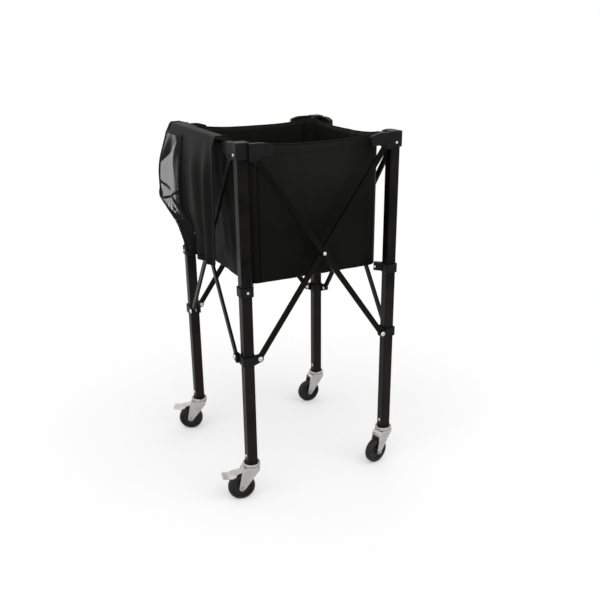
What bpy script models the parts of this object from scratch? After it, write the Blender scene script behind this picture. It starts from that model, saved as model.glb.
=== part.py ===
# Folding tennis ball cart: four square legs on castors, held apart by four scissor
# pairs, with a fabric bag hung between the legs and its cover flap hung over one side.
# Metres, +Z up, the cart stands on z = 0 and the middle of its plan box is the origin.

import bpy
import bmesh
from math import atan2, cos, hypot, pi, radians, sin, sqrt
from mathutils import Matrix, Vector

# Frame
PITCH = 0.455            # distance between neighbouring leg axes
LEG = 0.030              # side of the square leg tube
LEG_WALL = 0.0016
LEG_ROUND = 0.004        # corner radius of the tube
TOP = 1.037              # height of the top brackets' flat tops
FIT = 0.0003             # clearance between pieces that seat on one another

# Scissor bars
PIN_IN = 0.0305          # pin to leg axis, along the side
PIN_DROP = 0.037         # upper pins below the brackets' tops
PIN_LOW = 0.446          # height of the sliders' pins
BAR_WIDE = 0.016
BAR_THICK = 0.007
BAR_WALL = 0.0014
BAR_OUT = 0.0165         # leg axis plane to the plane between the two bars
BAR_GAP = 0.0006         # free space between the two bars of a pair
PIN_R = 0.003
PIN_HEAD_R = 0.0068
PIN_HEAD = 0.0026
PLAY = 0.0003            # bar to cheek, and pin to hole
CHEEK = 0.003
EYE = 0.0105             # ear material beyond the pin

# Top bracket
CAP = 0.038
CAP_DEEP = 0.044
ROOF = 0.006             # material over the leg's end
ARM_END = 0.080          # leg axis to the end of the arm, along the side
ARM_SINK = 0.0025        # arm's top below the cap's
ARM_LIFT = 0.001         # underside of the arm over the pins
WEB_ROOM = 0.0055        # free height in the slot over the bar's end
ARM_NOSE = 0.004         # closed end of the slot
LUG_WIDE = 0.014
LUG_TALL = 0.022

# Sliders and bag collars
SLIDE = 0.00055          # running clearance on the leg
SLIDER_WALL = 0.0041
SLIDER_TALL = 0.026
COLLAR = 0.038
COLLAR_TALL = 0.0265
COLLAR_DROP = 0.0048     # middle of the collar below the bag's floor

# Bag and cover flap
BAG_IN = 0.0225          # bag wall inside the leg axes
BAG_ROUND = 0.030
BAG_SKIN = 0.002
BAG_FLOOR = 0.648
RIM_DROP = 0.017         # rim below the brackets' tops, in the middle of a side
BAG_PEAK = 0.023         # how much higher the rim is at the corners
BAG_BULGE = 0.006
BAG_EDGE = 0.008         # radius of the lower edge
FLAP_SKIN = 0.002
FLAP_FROM = -0.140
FLAP_TO = 0.240
FLAP_DROP_FRONT = 0.337  # hem below the brackets' tops
FLAP_DROP_BACK = 0.237
FLAP_OVER = 0.0055       # flap over the brackets' tops
FLAP_OFF = 0.004         # flap to the bolt heads
FLAP_FOLD = 0.013        # depth of the hanging folds
FLAP_BOW = 0.006
FLAP_LEAN = 0.007
FLAP_BILLOW = 0.026      # how far the rear end stands out

# Castors
WHEEL_R = 0.040
WHEEL_WIDE = 0.024
HUB_R = 0.011
TRAIL = 0.032            # swivel axis to wheel axle
AXLE_R = 0.003
AXLE_HEAD_R = 0.006
AXLE_HEAD = 0.003
RACE_R = 0.0245
RACE_TALL = 0.009
RACE_NECK = 0.004        # race to the leg's lower end
FORK_ROOM = 0.027        # top of the wheel to the race
FORK_WIDE = 0.034
FORK_SHEET = 0.0032
CROWN_R = 0.0235
CROWN_TALL = 0.0082
SWIVEL_GAP = 0.0003
KING_R = 0.0045
KING_HEAD_R = 0.0075
PLUG_DEEP = 0.034
PEDAL_X = 0.022          # pedal pin behind the swivel axis
PEDAL_DROP = 0.014       # pedal pin below the race
PEDAL_TIP = 0.088
PEDAL_PIN_R = 0.0025
PEDAL_SHEET = 0.0025
PEDAL_WIDE = 0.040
PEDAL_FALL = 0.006       # drop of the plate from its pin to its tab
PEDAL_SKIRT = 0.007
PEDAL_NARROW = 0.0125    # from the wheel axle to where the plate broadens
PAD_GAP = 0.0045         # free space between the raised brake pad and the wheel
CASTOR_TURN = {"front_left": 168, "front_right": 195, "back_right": 180, "back_left": 155}

CORNERS = ["front_left", "front_right", "back_right", "back_left"]
SIDES = ["front", "right", "back", "left"]
HALF = PITCH / 2
BAG_HALF = HALF - BAG_IN
RACE_LOW = 2 * WHEEL_R + FORK_ROOM
RACE_TOP = RACE_LOW + RACE_TALL
LEG_FOOT = RACE_TOP + RACE_NECK
PEDAL_Z = RACE_LOW - PEDAL_DROP
PIN_TOP = TOP - PIN_DROP
ARM_TOP = TOP - ARM_SINK
ARM_LOW = PIN_TOP + ARM_LIFT
ARM_WEB = PIN_TOP + BAR_WIDE / 2 + WEB_ROOM
COLLAR_MID = BAG_FLOOR - COLLAR_DROP
BAG_RIM = TOP - RIM_DROP
PLANE_STEP = (BAR_THICK + BAR_GAP) / 2
OUT_OUTER = BAR_OUT + PLANE_STEP
OUT_INNER = BAR_OUT - PLANE_STEP
SLOT = BAR_THICK + 2 * PLAY
EAR = SLOT + 2 * CHEEK
PIN_SPAN = PITCH - 2 * PIN_IN
PIN_RISE = PIN_TOP - PIN_LOW
BAR_LONG = hypot(PIN_SPAN, PIN_RISE)
BAR_TILT = atan2(PIN_RISE, PIN_SPAN)
PIN_MID = (PIN_TOP + PIN_LOW) / 2
LUG_REACH = sqrt(2) * (HALF - BAG_HALF + BAG_ROUND) - BAG_ROUND - FIT


def clear_scene():
    for obj in list(bpy.data.objects):
        bpy.data.objects.remove(obj, do_unlink=True)


def collection(name):
    group = bpy.data.collections.new(name)
    bpy.context.scene.collection.children.link(group)
    return group


clear_scene()
PARTS = collection("tennis_ball_cart")
CUTTERS = collection("cutters")


def material(name, colour, rough, metal):
    mat = bpy.data.materials.new(name)
    mat.use_nodes = True
    shader = mat.node_tree.nodes["Principled BSDF"]
    shader.inputs["Base Color"].default_value = (*colour, 1.0)
    shader.inputs["Roughness"].default_value = rough
    shader.inputs["Metallic"].default_value = metal
    mat.diffuse_color = (*colour, 1.0)
    return mat


BLACK_TUBE = material("black_tube", (0.020, 0.019, 0.019), 0.38, 0.6)
BLACK_MOULD = material("black_moulding", (0.022, 0.021, 0.021), 0.55, 0.0)
ZINC = material("zinc_plate", (0.62, 0.61, 0.60), 0.34, 1.0)
BRIGHT = material("bright_bolt", (0.72, 0.72, 0.71), 0.22, 1.0)
WHEEL_BLACK = material("wheel_black", (0.016, 0.016, 0.017), 0.48, 0.0)
CLOTH = material("bag_cloth", (0.017, 0.017, 0.018), 0.62, 0.0)


# Building blocks

def place(name, mesh, parent, mat, at=(0, 0, 0), turn=(0, 0, 0)):
    obj = bpy.data.objects.new(name, mesh)
    PARTS.objects.link(obj)
    obj.parent = parent
    obj.location = at
    obj.rotation_euler = turn
    if not mesh.materials:
        mesh.materials.append(mat)
    return obj


def loose(name, mesh):
    obj = bpy.data.objects.new(name, mesh)
    CUTTERS.objects.link(obj)
    obj.hide_render = True
    obj.display_type = "WIRE"
    return obj


def evaluated(obj):
    bpy.context.view_layer.update()
    graph = bpy.context.evaluated_depsgraph_get()
    return bpy.data.meshes.new_from_object(obj.evaluated_get(graph), depsgraph=graph)


def baked(obj, helpers=()):
    mesh = evaluated(obj)
    mesh.name = obj.name
    for old in (obj, *helpers):
        bpy.data.objects.remove(old, do_unlink=True)
    mesh.shade_smooth()
    mesh.set_sharp_from_angle(angle=radians(32))
    return mesh


def from_bmesh(name, bm):
    bmesh.ops.recalc_face_normals(bm, faces=bm.faces)
    mesh = bpy.data.meshes.new(name)
    bm.to_mesh(mesh)
    bm.free()
    return mesh


def block(name, low, high, round_edges=0.0, steps=1):
    bm = bmesh.new()
    bmesh.ops.create_cube(bm, size=1.0)
    size = Vector(high) - Vector(low)
    middle = (Vector(high) + Vector(low)) / 2
    bmesh.ops.scale(bm, vec=size, verts=bm.verts)
    bmesh.ops.translate(bm, vec=middle, verts=bm.verts)
    if round_edges:
        bmesh.ops.bevel(bm, geom=bm.edges[:], offset=round_edges, segments=steps,
                        affect="EDGES", profile=0.5)
    return loose(name, from_bmesh(name, bm))


def rod(name, radius, length, sides=12):
    # A round rod along Y, centred on the origin
    bm = bmesh.new()
    bmesh.ops.create_cone(bm, cap_ends=True, segments=sides, radius1=radius,
                          radius2=radius, depth=length)
    bmesh.ops.rotate(bm, cent=(0, 0, 0), matrix=Matrix.Rotation(pi / 2, 3, "X"),
                     verts=bm.verts)
    return loose(name, from_bmesh(name, bm))


def prism(name, outline, thick, upright=False, holes=()):
    # A closed outline, less any holes, filled and extruded; upright stands it in XZ
    curve = bpy.data.curves.new(name, "CURVE")
    curve.dimensions = "2D"
    curve.fill_mode = "BOTH"
    curve.extrude = thick / 2
    for points in (outline, *holes):
        spline = curve.splines.new("POLY")
        spline.points.add(len(points) - 1)
        for point, (x, y) in zip(spline.points, points):
            point.co = (x, y, 0.0, 1.0)
        spline.use_cyclic_u = True
    drawn = loose(name + "_outline", curve)
    mesh = evaluated(drawn)
    bpy.data.objects.remove(drawn, do_unlink=True)
    bm = bmesh.new()
    bm.from_mesh(mesh)
    bpy.data.meshes.remove(mesh)
    bmesh.ops.remove_doubles(bm, verts=bm.verts, dist=1e-6)
    if upright:
        bmesh.ops.rotate(bm, cent=(0, 0, 0), matrix=Matrix.Rotation(pi / 2, 3, "X"),
                         verts=bm.verts)
    return loose(name, from_bmesh(name, bm))


def turned(name, profile, steps, upright=True):
    # A profile of (radius, height) pairs, top to bottom, spun about its axis
    bm = bmesh.new()
    verts = [bm.verts.new((r, 0, z)) for r, z in profile]
    for a, b in zip(verts, verts[1:]):
        bm.edges.new((a, b))
    mesh = bpy.data.meshes.new(name)
    bm.to_mesh(mesh)
    bm.free()
    obj = loose(name, mesh)
    spin = obj.modifiers.new("spin", "SCREW")
    spin.axis = "Z"
    spin.steps = steps
    spin.render_steps = steps
    spin.use_merge_vertices = True
    spin.merge_threshold = 0.00001
    spin.use_normal_calculate = True
    mesh = evaluated(obj)
    bpy.data.objects.remove(obj, do_unlink=True)
    bm = bmesh.new()
    bm.from_mesh(mesh)
    bpy.data.meshes.remove(mesh)
    bmesh.ops.remove_doubles(bm, verts=bm.verts, dist=1e-6)
    if not upright:
        bmesh.ops.rotate(bm, cent=(0, 0, 0), matrix=Matrix.Rotation(pi / 2, 3, "X"),
                         verts=bm.verts)
    return loose(name, from_bmesh(name, bm))


def moved(obj, at=(0, 0, 0), turn=0.0):
    obj.data.transform(Matrix.Translation(at) @ Matrix.Rotation(turn, 4, "Z"))
    return obj


def combine(base, steps):
    # Joins and cuts in the order given, then bakes the result to one mesh
    for kind, other in steps:
        step = base.modifiers.new(kind.lower(), "BOOLEAN")
        step.operation = kind
        step.solver = "EXACT"
        step.object = other
    return baked(base, [other for _, other in steps])


def rounded_box_outline(half, radius, steps=3):
    points = []
    for k in range(4):
        turn = k * pi / 2
        for i in range(steps + 1):
            a = turn + i * pi / 2 / steps
            cx = (half - radius) * (1 if k in (0, 3) else -1)
            cy = (half - radius) * (1 if k in (0, 1) else -1)
            points.append((cx + radius * cos(a), cy + radius * sin(a)))
    return points


def arc(cx, cy, radius, start, end, steps):
    turns = [radians(start + (end - start) * i / steps) for i in range(steps + 1)]
    return [(cx + radius * cos(a), cy + radius * sin(a)) for a in turns]


def upright_tube(name, half, radius, low, high, wall):
    # An open skin drawn round the outline and thickened inwards
    bm = bmesh.new()
    ring = [bm.verts.new((x, y, low)) for x, y in rounded_box_outline(half, radius)]
    edges = [bm.edges.new((ring[i - 1], ring[i])) for i in range(len(ring))]
    grown = bmesh.ops.extrude_edge_only(bm, edges=edges)["geom"]
    upper = [v for v in grown if isinstance(v, bmesh.types.BMVert)]
    bmesh.ops.translate(bm, vec=(0, 0, high - low), verts=upper)
    bmesh.ops.recalc_face_normals(bm, faces=bm.faces)
    mesh = bpy.data.meshes.new(name)
    bm.to_mesh(mesh)
    bm.free()
    obj = loose(name, mesh)
    skin = obj.modifiers.new("wall", "SOLIDIFY")
    skin.thickness = wall
    skin.offset = 1.0 if skin_faces_in(mesh) else -1.0
    skin.use_even_offset = True
    return obj


def skin_faces_in(mesh):
    face = mesh.polygons[0]
    flat = Vector((face.center.x, face.center.y, 0))
    return face.normal.dot(flat) < 0


def solid_post(name, half, radius, low, high):
    post = prism(name, rounded_box_outline(half, radius), high - low)
    return moved(post, (0, 0, (low + high) / 2))


# Frame pieces, drawn about a leg axis with the cart's middle towards +X +Y

def leg_mesh():
    tube = upright_tube("leg", LEG / 2, LEG_ROUND, LEG_FOOT, TOP - ROOF - FIT, LEG_WALL)
    return baked(tube)


def ear_pin(tag, outward, height):
    # Pin across both cheeks with a domed head on the outer one
    half = EAR / 2
    shank = moved(rod("pin_" + tag, PIN_R, EAR - 0.001, 8), (PIN_IN, -outward, height))
    head = rod("head_" + tag, PIN_HEAD_R, PIN_HEAD + 0.001, 12)
    bm = bmesh.new()
    bm.from_mesh(head.data)
    rim = [e for e in bm.edges if all(v.co.y < 0 for v in e.verts)]
    bmesh.ops.bevel(bm, geom=rim, offset=0.0011, segments=1, affect="EDGES", profile=0.6)
    bm.to_mesh(head.data)
    bm.free()
    moved(head, (PIN_IN, -outward - half - (PIN_HEAD - 0.001) / 2, height))
    return shank, head


def mirrored_left(obj):
    # Mirrors a front-side piece about the diagonal, so that its head stays outside
    swap = Matrix(((0, 1, 0, 0), (1, 0, 0, 0), (0, 0, 1, 0), (0, 0, 0, 1)))
    obj.data.transform(swap)
    obj.data.flip_normals()
    return obj


def arm_outline():
    drop = PIN_TOP - EYE
    end = ARM_END
    points = [(CAP / 2 - 0.006, drop + 0.001)]
    points += arc(PIN_IN, PIN_TOP, EYE, 270, 325, 3)
    points += [(PIN_IN + EYE + 0.008, ARM_LOW + 0.0005)]
    points += arc(end - 0.005, ARM_LOW + 0.005, 0.005, 270, 360, 2)
    points += arc(end - 0.005, ARM_TOP - 0.011, 0.005, 0, 90, 2)
    points += [(end - 0.022, ARM_TOP - 0.001), (end - 0.034, ARM_TOP)]
    points += [(CAP / 2 - 0.006, ARM_TOP)]
    return points


def bracket_mesh():
    half = CAP / 2
    cap = block("top_bracket", (-half, -half, TOP - CAP_DEEP), (half, half, TOP), 0.0025)
    steps = []
    front_arm = moved(prism("arm_front", arm_outline(), EAR, True), (0, -OUT_OUTER, 0))
    left_arm = mirrored_left(moved(prism("arm_left", arm_outline(), EAR, True),
                                   (0, -OUT_INNER, 0)))
    lug = block("lug", (0.004, -LUG_WIDE / 2, TOP - 0.005 - LUG_TALL),
                (LUG_REACH, LUG_WIDE / 2, TOP - 0.005))
    moved(lug, turn=pi / 4)
    steps += [("UNION", front_arm), ("UNION", left_arm), ("UNION", lug)]
    socket = solid_post("socket", LEG / 2 + FIT, LEG_ROUND + FIT, TOP - 0.08, TOP - ROOF)
    steps.append(("DIFFERENCE", socket))
    for tag, outward in (("front", OUT_OUTER), ("left", OUT_INNER)):
        slot = block("slot_" + tag, (half + 0.0008, -outward - SLOT / 2, TOP - 0.09),
                     (ARM_END - ARM_NOSE, -outward + SLOT / 2, ARM_WEB))
        if tag == "left":
            mirrored_left(slot)
        steps.append(("DIFFERENCE", slot))
    for tag, outward in (("front", OUT_OUTER), ("left", OUT_INNER)):
        for piece in ear_pin(tag, outward, PIN_TOP):
            if tag == "left":
                mirrored_left(piece)
            steps.append(("UNION", piece))
    return combine(cap, steps)


def ear_outline(low, high):
    root = LEG / 2 + SLIDE + 0.001
    points = [(root, low + 0.001)]
    points += arc(PIN_IN, PIN_LOW, EYE, 262, 440, 5)
    points += [(root, high - 0.001)]
    return points


def slider_mesh():
    half = LEG / 2 + SLIDE + SLIDER_WALL
    low = PIN_LOW - 0.0025 - SLIDER_TALL / 2
    high = low + SLIDER_TALL
    ring = solid_post("slider", half, LEG_ROUND + 0.002, low, high)
    steps = []
    front_ear = moved(prism("ear_front", ear_outline(low, high), EAR, True),
                      (0, -OUT_INNER, 0))
    left_ear = mirrored_left(moved(prism("ear_left", ear_outline(low, high), EAR, True),
                                   (0, -OUT_OUTER, 0)))
    steps += [("UNION", front_ear), ("UNION", left_ear)]
    bore = solid_post("bore", LEG / 2 + SLIDE, LEG_ROUND + SLIDE, low - 0.01, high + 0.01)
    steps.append(("DIFFERENCE", bore))
    planes = (("front", OUT_INNER), ("left", OUT_OUTER))
    for tag, outward in planes:
        slot = block("slot_" + tag, (half + 0.0009, -outward - SLOT / 2, low - 0.01),
                     (PIN_IN + 0.03, -outward + SLOT / 2, high + 0.01))
        if tag == "left":
            mirrored_left(slot)
        steps.append(("DIFFERENCE", slot))
    for tag, outward in planes:
        for piece in ear_pin(tag, outward, PIN_LOW):
            if tag == "left":
                mirrored_left(piece)
            steps.append(("UNION", piece))
    return combine(ring, steps)


def collar_mesh():
    low = COLLAR_MID - COLLAR_TALL / 2
    high = low + COLLAR_TALL
    ring = solid_post("bag_collar", COLLAR / 2, LEG_ROUND + 0.002, low, high)
    lug = block("collar_lug", (0.006, -LUG_WIDE / 2, low + 0.0015),
                (LUG_REACH, LUG_WIDE / 2, high - 0.0007))
    moved(lug, turn=pi / 4)
    bore = solid_post("collar_bore", LEG / 2 + FIT, LEG_ROUND + FIT, low - 0.01, high + 0.01)
    return combine(ring, [("UNION", lug), ("DIFFERENCE", bore)])


# Scissor pieces, drawn along X about the middle pin

def bar_mesh():
    reach = BAR_LONG / 2
    half = BAR_WIDE / 2
    outline = arc(reach, 0, half, -90, 90, 4) + arc(-reach, 0, half, 90, 270, 4)
    holes = [arc(x, 0, PIN_R + PLAY, 11 + 8 * i, 326 + 8 * i, 7)
             for i, x in enumerate((-reach, 0, reach))]
    bar = prism("bar", outline, BAR_THICK, True, holes)
    inner = BAR_WIDE / 2 - BAR_WALL
    bore = block("bar_bore", (-reach - 0.05, -BAR_THICK / 2 + BAR_WALL, -inner),
                 (reach + 0.05, BAR_THICK / 2 - BAR_WALL, inner))
    return combine(bar, [("DIFFERENCE", bore)])


def rivet_mesh():
    grip = PLANE_STEP + BAR_THICK / 2 + PLAY
    end = grip + PIN_HEAD
    r = PIN_HEAD_R - 0.0005
    top = [(0, end), (r - 0.0013, end), (r, end - 0.0012)]
    low = [(x, -z) for x, z in reversed(top)]
    profile = top + [(r, grip), (PIN_R, grip), (PIN_R, -grip), (r, -grip)] + low
    return baked(turned("centre_rivet", profile, 12, False))


# Bag and cover flap, drawn about the cart's middle

def rim_height(x, y):
    along = min(abs(x), abs(y)) / BAG_HALF
    return BAG_RIM + BAG_PEAK * min(1.0, along) ** 3


def bag_ring(inset, per_side=6, per_corner=4):
    flat = BAG_HALF - BAG_ROUND
    round_r = max(BAG_ROUND - inset, 0.004)
    points = []
    for k in range(4):
        turn = Matrix.Rotation(k * pi / 2, 2)
        for i in range(per_side):
            s = -1 + 2 * i / per_side
            out = BAG_HALF - inset + BAG_BULGE * (1 - s * s)
            points.append(turn @ Vector((flat * s, -out)))
        for i in range(per_corner):
            a = -pi / 2 + i * pi / 2 / per_corner
            points.append(turn @ Vector((flat + round_r * cos(a), -flat + round_r * sin(a))))
    return points


def bag_mesh():
    bm = bmesh.new()
    ring_points = bag_ring(0.0)
    rows = []
    wall_rows = 4
    floor_edge = BAG_FLOOR + BAG_EDGE
    for j in range(wall_rows + 1):
        share = 1 - j / wall_rows
        row = []
        for p in ring_points:
            high = rim_height(p.x, p.y)
            row.append(bm.verts.new((p.x, p.y, floor_edge + (high - floor_edge) * share)))
        rows.append(row)
    for inset, up in ((0.35 * BAG_EDGE, 0.25 * BAG_EDGE), (BAG_EDGE, 0.0)):
        row = [bm.verts.new((p.x, p.y, BAG_FLOOR + up)) for p in bag_ring(inset)]
        rows.append(row)
    count = len(ring_points)
    for upper, lower in zip(rows, rows[1:]):
        for i in range(count):
            k = (i + 1) % count
            bm.faces.new((upper[i], lower[i], lower[k], upper[k]))
    last = rows[-1]
    edge = [bm.edges.get((last[i - 1], last[i])) for i in range(count)]
    bmesh.ops.contextual_create(bm, geom=edge)
    mesh = from_bmesh("bag", bm)
    obj = loose("bag_skin", mesh)
    skin = obj.modifiers.new("cloth", "SOLIDIFY")
    skin.thickness = BAG_SKIN
    skin.offset = -1.0
    skin.use_even_offset = True
    return baked(obj)


def smooth(value, low, high):
    t = max(0.0, min(1.0, (value - low) / (high - low)))
    return t * t * (3 - 2 * t)


def flap_point(y, v):
    # v runs from the bag's rim (0) over the side rail and down to the hem (1)
    crest = TOP + FLAP_OVER
    rim = rim_height(-BAG_HALF, min(y, BAG_HALF)) + FIT + 0.0004
    outer = HALF + OUT_OUTER + EAR / 2 + PIN_HEAD
    along = y / FLAP_TO
    hem = TOP - FLAP_DROP_FRONT
    hem += (FLAP_DROP_FRONT - FLAP_DROP_BACK) * smooth(along, 0.25, 1.0)
    bow = 0.5 + 0.5 * cos(6.24 * along + 0.9)
    fold = 0.5 + 0.5 * sin(13.92 * along + 2.2 * bow)
    across = [(BAG_HALF - FLAP_OFF, rim), (BAG_HALF + 2.5 * FLAP_OFF, rim + FLAP_OFF / 2)]
    across += [(HALF + FLAP_OFF, max(crest, rim))]
    across += [(outer + FLAP_OFF / 2, crest - FLAP_OFF / 8)]
    if v < 0.3:
        t = v / 0.3 * 3
        i = min(2, int(t))
        f = t - i
        x = across[i][0] + (across[i + 1][0] - across[i][0]) * f
        z = across[i][1] + (across[i + 1][1] - across[i][1]) * f
        return -x, z
    t = (v - 0.3) / 0.7
    low = smooth(t, 0.0, 0.35)
    billow = FLAP_BILLOW * smooth(along, 0.083, 0.708) * sin(pi * min(1.0, t * 0.8 + 0.1))
    x = outer + FLAP_OFF + FLAP_LEAN * smooth(t, 0.0, 0.08)
    x += low * (FLAP_FOLD * fold + FLAP_BOW * bow)
    start = crest - FLAP_OFF / 2
    return -(x + billow), start - (start - hem) * t


def flap_mesh():
    columns = 28
    heights = [0, 0.1, 0.2, 0.3, 0.33, 0.39, 0.47, 0.58, 0.70, 0.85, 1.0]
    bm = bmesh.new()
    grid = []
    for v in heights:
        row = []
        for i in range(columns + 1):
            y = FLAP_FROM + (FLAP_TO - FLAP_FROM) * i / columns
            draw = 0.10 * smooth(v, 0.3, 1.0)
            middle = (FLAP_FROM + FLAP_TO) / 2
            shift = (middle - y) * draw
            x, z = flap_point(y, v)
            row.append(bm.verts.new((x, y + shift, z)))
        grid.append(row)
    for upper, lower in zip(grid, grid[1:]):
        for i in range(columns):
            bm.faces.new((upper[i], upper[i + 1], lower[i + 1], lower[i]))
    mesh = bpy.data.meshes.new("cover_flap")
    bm.normal_update()
    outward = sum(f.normal.z for f in list(bm.faces)[:columns]) > 0
    bm.to_mesh(mesh)
    bm.free()
    obj = loose("flap_skin", mesh)
    skin = obj.modifiers.new("cloth", "SOLIDIFY")
    skin.thickness = FLAP_SKIN
    skin.offset = 1.0 if outward else -1.0
    skin.use_even_offset = True
    return baked(obj)


# Castor pieces, drawn about the swivel axis with the wheel trailing towards +X

def plug_mesh():
    inner = LEG / 2 - LEG_WALL - FIT
    rest = LEG_FOOT - FIT
    post = solid_post("castor_plug", inner, LEG_ROUND - LEG_WALL, rest - 0.002,
                      rest + PLUG_DEEP)
    shoulder = 0.0015
    tip = RACE_LOW - SWIVEL_GAP - CROWN_TALL - SWIVEL_GAP
    profile = [(0, rest), (LEG / 2 + 0.001, rest), (RACE_R - 0.003, RACE_TOP)]
    profile += [(RACE_R - shoulder, RACE_TOP)]
    profile += [(RACE_R, RACE_TOP - shoulder), (RACE_R, RACE_LOW + shoulder)]
    profile += [(RACE_R - shoulder, RACE_LOW), (KING_R, RACE_LOW), (KING_R, tip)]
    profile += [(KING_HEAD_R, tip), (KING_HEAD_R, tip - 0.004), (0, tip - 0.004)]
    race = turned("race", profile, 16)
    return combine(post, [("UNION", race)])


def fork_outline(top, cut):
    axle_z = WHEEL_R
    points = [(-CROWN_R + 0.002, top - 0.001), (-CROWN_R + 0.002, cut - 0.004)]
    points += arc(TRAIL, axle_z, 0.009, 218, 360, 5)
    points += [(TRAIL + 0.0035, axle_z + 0.030), (CROWN_R + 0.007, cut - 0.002)]
    points += [(CROWN_R + 0.001, top - 0.001)]
    return points


def fork_mesh():
    top = RACE_LOW - SWIVEL_GAP
    cut = top - CROWN_TALL
    profile = [(0, top), (CROWN_R - 0.0015, top), (CROWN_R, top - 0.0015)]
    profile += [(CROWN_R, cut + 0.0002), (0, cut + 0.0002)]
    crown = turned("castor_fork", profile, 16)
    cheeks = prism("cheeks", fork_outline(top, cut), FORK_WIDE, True)
    inner = FORK_WIDE / 2 - FORK_SHEET
    slot = block("wheel_slot", (-0.06, -inner, -0.02), (0.12, inner, cut))
    king = rod("king_hole", KING_R + SWIVEL_GAP, 0.05, 16)
    king.data.transform(Matrix.Rotation(pi / 2, 4, "X"))
    moved(king, (0, 0, top))
    axle = moved(rod("axle_hole", AXLE_R + PLAY, 0.08, 8), (TRAIL, 0, WHEEL_R))
    pedal = moved(rod("pedal_hole", PEDAL_PIN_R + PLAY, 0.08, 8), (PEDAL_X, 0, PEDAL_Z))
    steps = [("UNION", cheeks), ("DIFFERENCE", slot), ("DIFFERENCE", king)]
    steps += [("DIFFERENCE", axle), ("DIFFERENCE", pedal)]
    return combine(crown, steps)


def axle_mesh():
    grip = FORK_WIDE / 2 + PLAY
    end = grip + AXLE_HEAD
    r = AXLE_HEAD_R
    top = [(0, end), (r - 0.0015, end), (r, end - 0.0012)]
    low = [(x, -z) for x, z in reversed(top)]
    profile = top + [(r, grip), (AXLE_R, grip), (AXLE_R, -grip), (r, -grip)] + low
    return baked(turned("castor_axle", profile, 8, False))


def wheel_mesh():
    sides = 24
    tread = WHEEL_R / cos(pi / sides)
    half = WHEEL_WIDE / 2
    boss = FORK_WIDE / 2 - FORK_SHEET - 0.00035
    bore = AXLE_R + PLAY
    web = 0.005
    upper = [(HUB_R - 0.003, boss), (HUB_R, web), (tread - 0.013, web)]
    upper += [(tread - 0.009, half), (tread - 0.003, half - 0.0015), (tread, half - 0.006)]
    lower = [(r, -z) for r, z in reversed(upper)]
    ring = [(bore, boss)] + upper + lower + [(bore, -boss), (bore, boss)]
    wheel = turned("castor_wheel", ring, sides, False)
    wheel.data.transform(Matrix.Rotation(pi / sides, 4, "Y"))
    return baked(wheel)


def pedal_mesh():
    inner = FORK_WIDE / 2 - FORK_SHEET - PLAY
    hub = rod("brake_pedal", PEDAL_PIN_R + 0.002, 2 * inner, 14)
    moved(hub, (PEDAL_X, 0, PEDAL_Z))
    sheet = PEDAL_SHEET
    knee = (PEDAL_TIP - 0.016, PEDAL_Z - PEDAL_FALL)
    start = (PEDAL_X - 0.001, PEDAL_Z + 0.0035)
    tip = (PEDAL_TIP, PEDAL_Z - PEDAL_FALL - 0.007)
    plate = [start, knee, (knee[0] - 0.001, knee[1] - sheet), (start[0], start[1] - sheet)]
    arm = prism("pedal_arm", plate[::-1], 2 * inner, True)
    narrow_to = TRAIL + PEDAL_NARROW
    slope = (knee[1] - start[1]) / (knee[0] - start[0])
    edge = start[1] + slope * (narrow_to - start[0])
    wide = [(narrow_to, edge), knee, tip, (tip[0] - 0.001, tip[1] - sheet)]
    wide += [(knee[0] - 0.001, knee[1] - sheet), (narrow_to, edge - sheet)]
    wide = [(x, z + 0.0001 if i < 3 else z - 0.0001) for i, (x, z) in enumerate(wide)]
    tread = prism("pedal_tread", wide[::-1], PEDAL_WIDE, True)
    skirt_low = PEDAL_Z - PEDAL_FALL - PEDAL_SKIRT
    side = [(narrow_to, edge - 0.0005), (knee[0] - 0.001, knee[1] - 0.0005)]
    side += [(knee[0] - 0.006, skirt_low), (narrow_to + 0.002, edge - PEDAL_SKIRT)]
    skirts = []
    for tag, sign in (("near", -1), ("far", 1)):
        skirt = prism("pedal_skirt_" + tag, side[::-1], sheet * 0.8, True)
        skirts.append(moved(skirt, (0, sign * (PEDAL_WIDE / 2 - sheet * 0.4), 0)))
    pad_low = 2 * WHEEL_R + PAD_GAP
    pad_x = PEDAL_X + 0.010
    pad = block("pedal_pad", (pad_x - 0.005, -0.008, pad_low),
                (pad_x + 0.005, 0.008, PEDAL_Z), 0.001)
    pin = moved(rod("pedal_pin", PEDAL_PIN_R, FORK_WIDE + 0.002, 8), (PEDAL_X, 0, PEDAL_Z))
    shift = Matrix.Translation((-PEDAL_X, 0, -PEDAL_Z))
    pieces = [arm, tread, *skirts, pad, pin]
    for piece in (hub, *pieces):
        piece.data.transform(shift)
    return combine(hub, [("UNION", piece) for piece in pieces])


# Assembly

def empty(name, at=(0, 0, 0), turn=0.0, parent=None):
    obj = bpy.data.objects.new(name, None)
    obj.empty_display_size = 0.03
    PARTS.objects.link(obj)
    obj.parent = parent
    obj.location = at
    obj.rotation_euler = (0, 0, turn)
    return obj


def build_corners(root):
    leg = leg_mesh()
    bracket = bracket_mesh()
    collar = collar_mesh()
    slider = slider_mesh()
    for k, corner in enumerate(CORNERS):
        spot = Matrix.Rotation(k * pi / 2, 2) @ Vector((-HALF, -HALF))
        axis = empty("corner_axis_" + corner, (spot.x, spot.y, 0), k * pi / 2, root)
        place("leg_" + corner, leg, axis, BLACK_TUBE)
        place("top_bracket_" + corner, bracket, axis, BLACK_MOULD)
        place("bag_collar_" + corner, collar, axis, BLACK_MOULD)
        place("slider_" + corner, slider, axis, BLACK_MOULD)


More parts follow.
